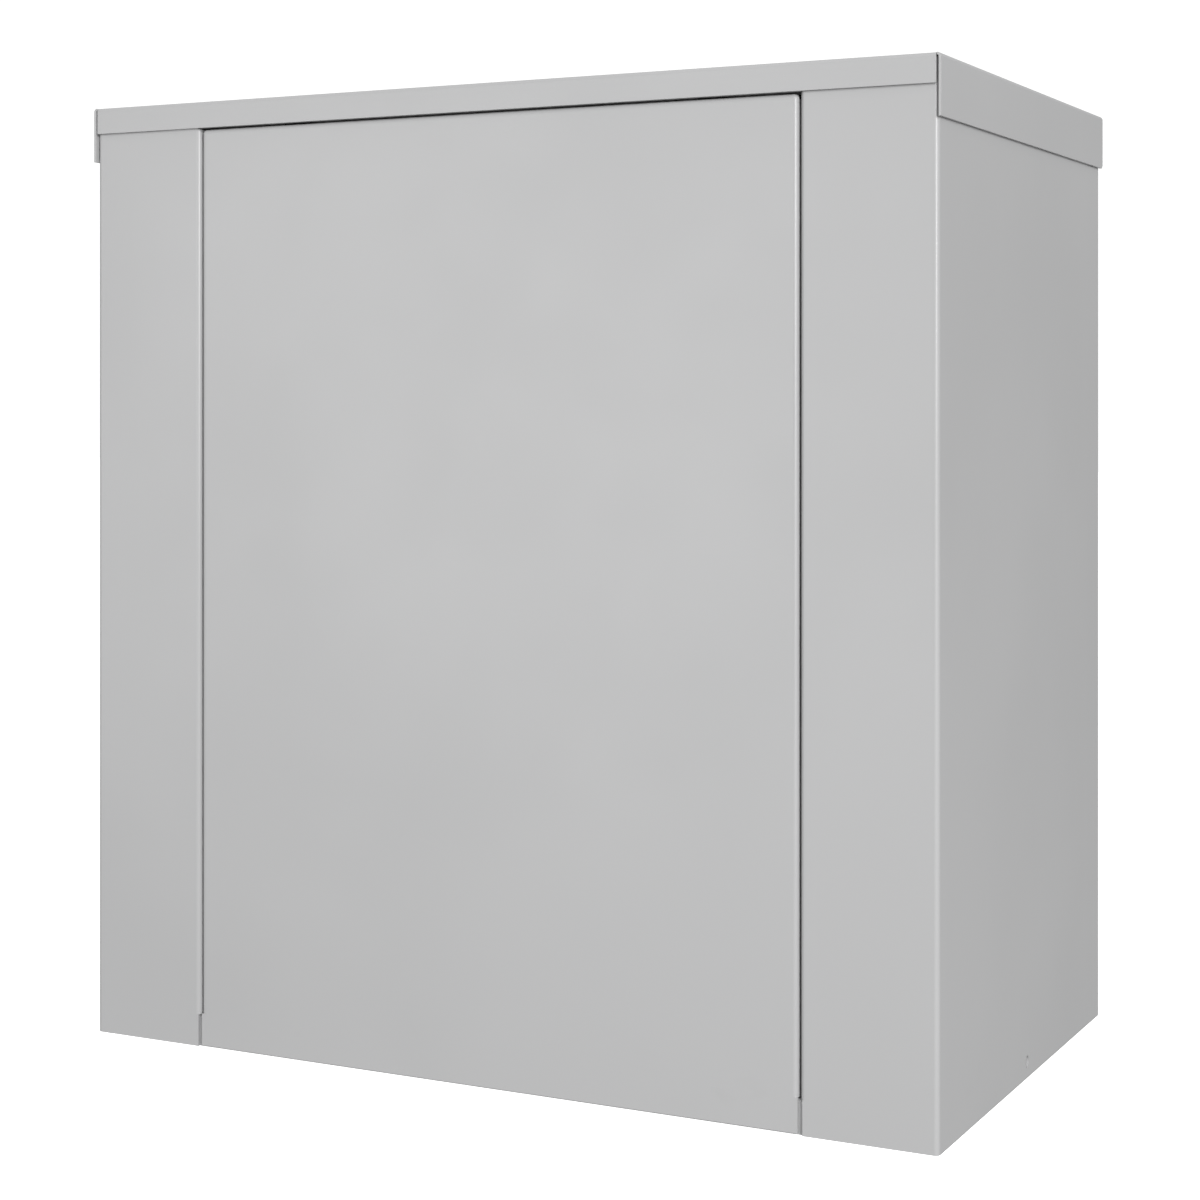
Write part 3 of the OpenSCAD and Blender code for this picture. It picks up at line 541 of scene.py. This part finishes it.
def dress_main_switch():
    low, high = box_mm("main_switch_body")
    middle_z = (low.z + high.z) / 2
    cover_y = low.y + COVER_SETBACK
    screws = bmesh.new()
    pads = bmesh.new()
    for x in (-POLE_X, 0, POLE_X):
        for end in (-1, 1):
            seat = front(x, cover_y + TERMINAL_DEPTH, middle_z + end * TERMINAL_Z)
            screw_head(screws, seat, 4.1, 0.0, 4.0, 2, 1.3, 1.5)
            bed = front(x, cover_y + PAD_DEPTH, middle_z + end * PAD_Z)
            slab(pads, bed, card_outline(14, 11, 1.2), 0.0, 3.0)
    for x in (-BETWEEN_POLES_X, BETWEEN_POLES_X):
        for end in (-1, 1):
            screw_head(screws, front(x, cover_y + FIXING_DEPTH, middle_z + end * FIXING_Z), 2.8, 0.0, 3.0)
    piece("main_switch_screws", screws, "zinc_fastener", "cabinet")
    piece("main_switch_terminal_pads", pads, "copper", "cabinet")

    toggle_low, toggle_high = box_mm("main_switch_toggle")
    width = toggle_high.x - toggle_low.x
    trim = bmesh.new()
    collar(trim, front(0, low.y, middle_z), card_outline(width + 1.4, 44.2, 1.5), 2.6, -0.4, 1.3, 0.4)
    button_low, button_high = box_mm("main_switch_trip_button")
    button = front((button_low.x + button_high.x) / 2, low.y, (button_low.z + button_high.z) / 2)
    collar(trim, button, ring_outline(3.4), 1.6, -0.4, 0.9)
    piece("main_switch_rims", trim, "black_plastic", "cabinet")

    barriers = bmesh.new()
    for x in (-BETWEEN_POLES_X, BETWEEN_POLES_X):
        for end in (-1, 1):
            fin = side(x, cover_y + BARRIER_DEPTH, middle_z + end * BARRIER_Z)
            slab(barriers, fin, card_outline(58, 10.5, 1.5), -0.8, 0.8, 0.3)
    piece("main_switch_phase_barriers", barriers, "black_plastic", "cabinet")

    cards = bmesh.new()
    for x, z, card_w, card_h in ((0, 33, 66, 11), (-29, -8, 20, 46), (0, -33, 40, 9)):
        card_place = front(x, low.y, middle_z + z)
        slab(cards, card_place, card_outline(card_w, card_h, 1.0), -0.15, 0.3, 0.1)
    piece("main_switch_cards", cards, "device_housing", "cabinet")

    lever("main_switch_lever_moulding", "main_switch_toggle", "main_toggle", width, **SWITCH_LEVER)
    push_button("trip_button_cap", "main_switch_trip_button", "trip_button", "red_plastic")


dress_main_switch()


# ---- Terminals and bars -----------------------------------------------------

TERMINAL_PITCH = 8  # from one block to the next
TERMINAL_WELL_Z = 13.5  # a screw, above or below the blocks' middle
TERMINAL_WELL_DEPTH = 18  # the screw's seat, behind the blocks' front
STOP_SCREW_INSET = 4.5  # an end stop's screw, from its outer side
STOP_SCREW_DEPTH = 11  # its seat, behind the end stop's front
BAR_SCREWS = 8  # clamp screws along the neutral bar and along the earth bar


def dress_terminals():
    low, high = box_mm("terminal_blocks")
    middle_z = (low.z + high.z) / 2
    count = round((high.x - low.x) / TERMINAL_PITCH)
    tags = bmesh.new()
    screws = bmesh.new()
    for i in range(count):
        x = low.x + (i + 0.5) * TERMINAL_PITCH - 0.1
        slab(tags, front(x, low.y, middle_z), card_outline(6.2, 9.0, 0.7), -0.3, 0.7)
        for end in (-1, 1):
            seat = front(x, low.y + TERMINAL_WELL_DEPTH, middle_z + end * TERMINAL_WELL_Z)
            screw_head(screws, seat, 2.2, 0.0, 5.0, 1, 0.7)
    piece("terminal_marking_tags", tags, "device_housing", "cabinet")
    piece("terminal_screws", screws, "zinc_fastener", "cabinet")

    stop_low, stop_high = box_mm("end_stops")
    stops = bmesh.new()
    for x in (stop_low.x + STOP_SCREW_INSET, stop_high.x - STOP_SCREW_INSET):
        screw_head(stops, front(x, stop_low.y + STOP_SCREW_DEPTH, middle_z), 2.3, 0.0, 4.0, 1, 0.8)
    piece("end_stop_screws", stops, "zinc_fastener", "cabinet")

    comb_low, comb_high = box_mm("comb_busbar")
    length = comb_high.x - comb_low.x + 2.0
    sleeve = bmesh.new()
    place = front((comb_low.x + comb_high.x) / 2, comb_high.y + 1.0, comb_low.z + 3.3)
    slab(sleeve, place, card_outline(length, 8.4, 1.0), 0.0, comb_high.y - comb_low.y + 2.0)
    piece("comb_busbar_sleeve", sleeve, "duct_plastic", "cabinet")

    for bar in ("neutral_bar", "earth_bar"):
        bar_low, bar_high = box_mm(bar)
        clamps = bmesh.new()
        for i in range(BAR_SCREWS):
            x = bar_low.x + (i + 0.5) * (bar_high.x - bar_low.x) / BAR_SCREWS
            seat = front(x, bar_low.y + 3, (bar_low.z + bar_high.z) / 2)
            screw_head(clamps, seat, 1.85, 0.0, 4.2, 1, 0.6)
        piece(f"{bar}_screws", clamps, "zinc_fastener", "cabinet")


dress_terminals()


# ---- Document pocket --------------------------------------------------------


def mould_document_pocket():
    """A wall with round corners, a floor and a dip in the front edge to grip the papers by."""
    low, high = box_mm("document_pocket")
    size, middle = high - low, (low + high) / 2
    wall, corner, dip, dip_half, ease = 2.0, 6.0, 45.0, 60.0, 14.0
    outer = card_outline(size.x, size.y, corner, steps=9)
    outer = dense_front(outer, dip_half + ease, 24)
    inner = inset(outer, wall)
    place = above(middle.x, middle.y, low.z)

    def rim(point):
        """The height of the wall at a point: lower in the middle of the side that faces the inside."""
        if point.y < size.y / 2 - wall - 0.5:
            return size.z
        across = (dip_half + ease / 2 - abs(point.x)) / ease
        across = min(1.0, max(0.0, across))
        return size.z - dip * across * across * (3 - 2 * across)

    heights = [rim(p) for p in outer]
    mesh = bmesh.new()
    rings = [
        [place(p.x, p.y, 0.0) for p in inset(outer, 1.0)],
        [place(p.x, p.y, 1.0) for p in outer],
        [place(p.x, p.y, h - 0.6) for p, h in zip(outer, heights)],
        [place(p.x, p.y, h) for p, h in zip(inset(outer, 0.6), heights)],
        [place(p.x, p.y, h) for p, h in zip(inset(outer, wall - 0.6), heights)],
        [place(p.x, p.y, h - 0.6) for p, h in zip(inner, heights)],
        [place(p.x, p.y, wall + 1.0) for p in inner],
        [place(p.x, p.y, wall) for p in inset(inner, 1.0)],
    ]
    loft(mesh, rings)
    piece("document_pocket_moulding", mesh, "pocket_plastic", "door", ["document_pocket"])


def dense_front(outline, half, steps):
    """Adds points along the side at the highest v, so that its rim can dip smoothly."""
    points = []
    for i, point in enumerate(outline):
        points.append(point)
        after = outline[(i + 1) % len(outline)]
        if abs(point.y - after.y) < 1e-6 and point.y > 0 and abs(point.x - after.x) > half:
            for k in range(2 * steps + 1):
                points.append(Vector((half * (steps - k) / steps, point.y)))
    return points


mould_document_pocket()


# ---- Studio -----------------------------------------------------------------

FLOOR = 12.0  # half the floor's width, in metres
FLOOR_GLOW = 1.0  # emission, which keeps the floor white for the camera
UNDER_LIGHT = 0.36  # brightness of the room below the horizon
WALL_LIGHT = 0.38  # at the horizon
CEILING_LIGHT = 0.75  # straight up
HORIZON = (0.46, 0.54)  # where the ramp leaves the first level and reaches the second; 0.5 is level
BACKDROP = 1.1  # brightness that the camera sees behind everything
# Powers in watts and places in metres; set to bring the render near the photograph
KEY_LIGHT = 280
KEY_PLACE = (4.2, -4.0, 1.9)
FILL_LIGHT = 38
FILL_PLACE = (-2.3, -4.4, 0.5)


def make_room():
    """Soft light from all round that is brightest overhead, with plain white for the camera to see."""
    world = bpy.data.worlds.new("studio")
    world.use_nodes = True
    tree = world.node_tree
    room = tree.nodes["Background"]
    direction = tree.nodes.new("ShaderNodeTexCoord")
    split = tree.nodes.new("ShaderNodeSeparateXYZ")
    tree.links.new(direction.outputs["Generated"], split.inputs["Vector"])
    height = tree.nodes.new("ShaderNodeMapRange")
    height.inputs["From Min"].default_value = -1.0
    tree.links.new(split.outputs["Z"], height.inputs["Value"])
    dome = tree.nodes.new("ShaderNodeValToRGB")
    stops = dome.color_ramp.elements
    for place in HORIZON:
        stops.new(place)
    for stop, level in zip(stops, (UNDER_LIGHT, UNDER_LIGHT, WALL_LIGHT, CEILING_LIGHT)):
        stop.color = (level, level, level, 1)
    tree.links.new(height.outputs["Result"], dome.inputs["Fac"])
    tree.links.new(dome.outputs["Color"], room.inputs["Color"])
    backdrop = tree.nodes.new("ShaderNodeBackground")
    backdrop.inputs["Color"].default_value = (1, 1, 1, 1)
    backdrop.inputs["Strength"].default_value = BACKDROP
    path = tree.nodes.new("ShaderNodeLightPath")
    blend = tree.nodes.new("ShaderNodeMixShader")
    tree.links.new(path.outputs["Is Camera Ray"], blend.inputs["Fac"])
    tree.links.new(room.outputs["Background"], blend.inputs[1])
    tree.links.new(backdrop.outputs["Background"], blend.inputs[2])
    tree.links.new(blend.outputs["Shader"], tree.nodes["World Output"].inputs["Surface"])
    bpy.context.scene.world = world


def make_floor():
    """A pale floor that only the camera sees, so it neither lights the cabinet nor takes its shadow."""
    mesh = bpy.data.meshes.new("floor")
    corners = [(-FLOOR, -FLOOR, 0), (FLOOR, -FLOOR, 0), (FLOOR, FLOOR, 0), (-FLOOR, FLOOR, 0)]
    mesh.from_pydata(corners, [], [(0, 1, 2, 3)])
    floor = bpy.data.objects.new("floor", mesh)
    bpy.context.scene.collection.objects.link(floor)
    pale = Finish("pale_floor", (0.94, 0.94, 0.94), 0.7)
    pale.shader.inputs["Specular IOR Level"].default_value = 0.1
    pale.paint(pale.mix(pale.noise(3.0), pale.shade(0.995), pale.shade(1.0)))
    pale.shader.inputs["Emission Color"].default_value = (1, 1, 1, 1)
    pale.shader.inputs["Emission Strength"].default_value = FLOOR_GLOW
    mesh.materials.append(pale.material)
    floor.visible_diffuse = False
    floor.visible_glossy = False
    floor.visible_shadow = False


def soft_light(name, place, aim, size, power):
    """A rectangular area light at a place, turned towards an aim."""
    data = bpy.data.lights.new(name, "AREA")
    data.shape = "RECTANGLE"
    data.size, data.size_y = size
    data.energy = power
    light = bpy.data.objects.new(name, data)
    light.location = place
    light.rotation_euler = (Vector(aim) - Vector(place)).to_track_quat("-Z", "Y").to_euler()
    bpy.context.scene.collection.objects.link(light)


def make_studio():
    """A white room, a pale floor, a tall key light right of the camera and a soft fill on the left."""
    bpy.context.scene.view_settings.view_transform = "Standard"
    make_room()
    make_floor()
    soft_light("key", KEY_PLACE, (0, 0, 0.3), (1.6, 2.6), KEY_LIGHT)
    soft_light("fill", FILL_PLACE, (0, 0, 0.35), (2.0, 2.0), FILL_LIGHT)


make_studio()
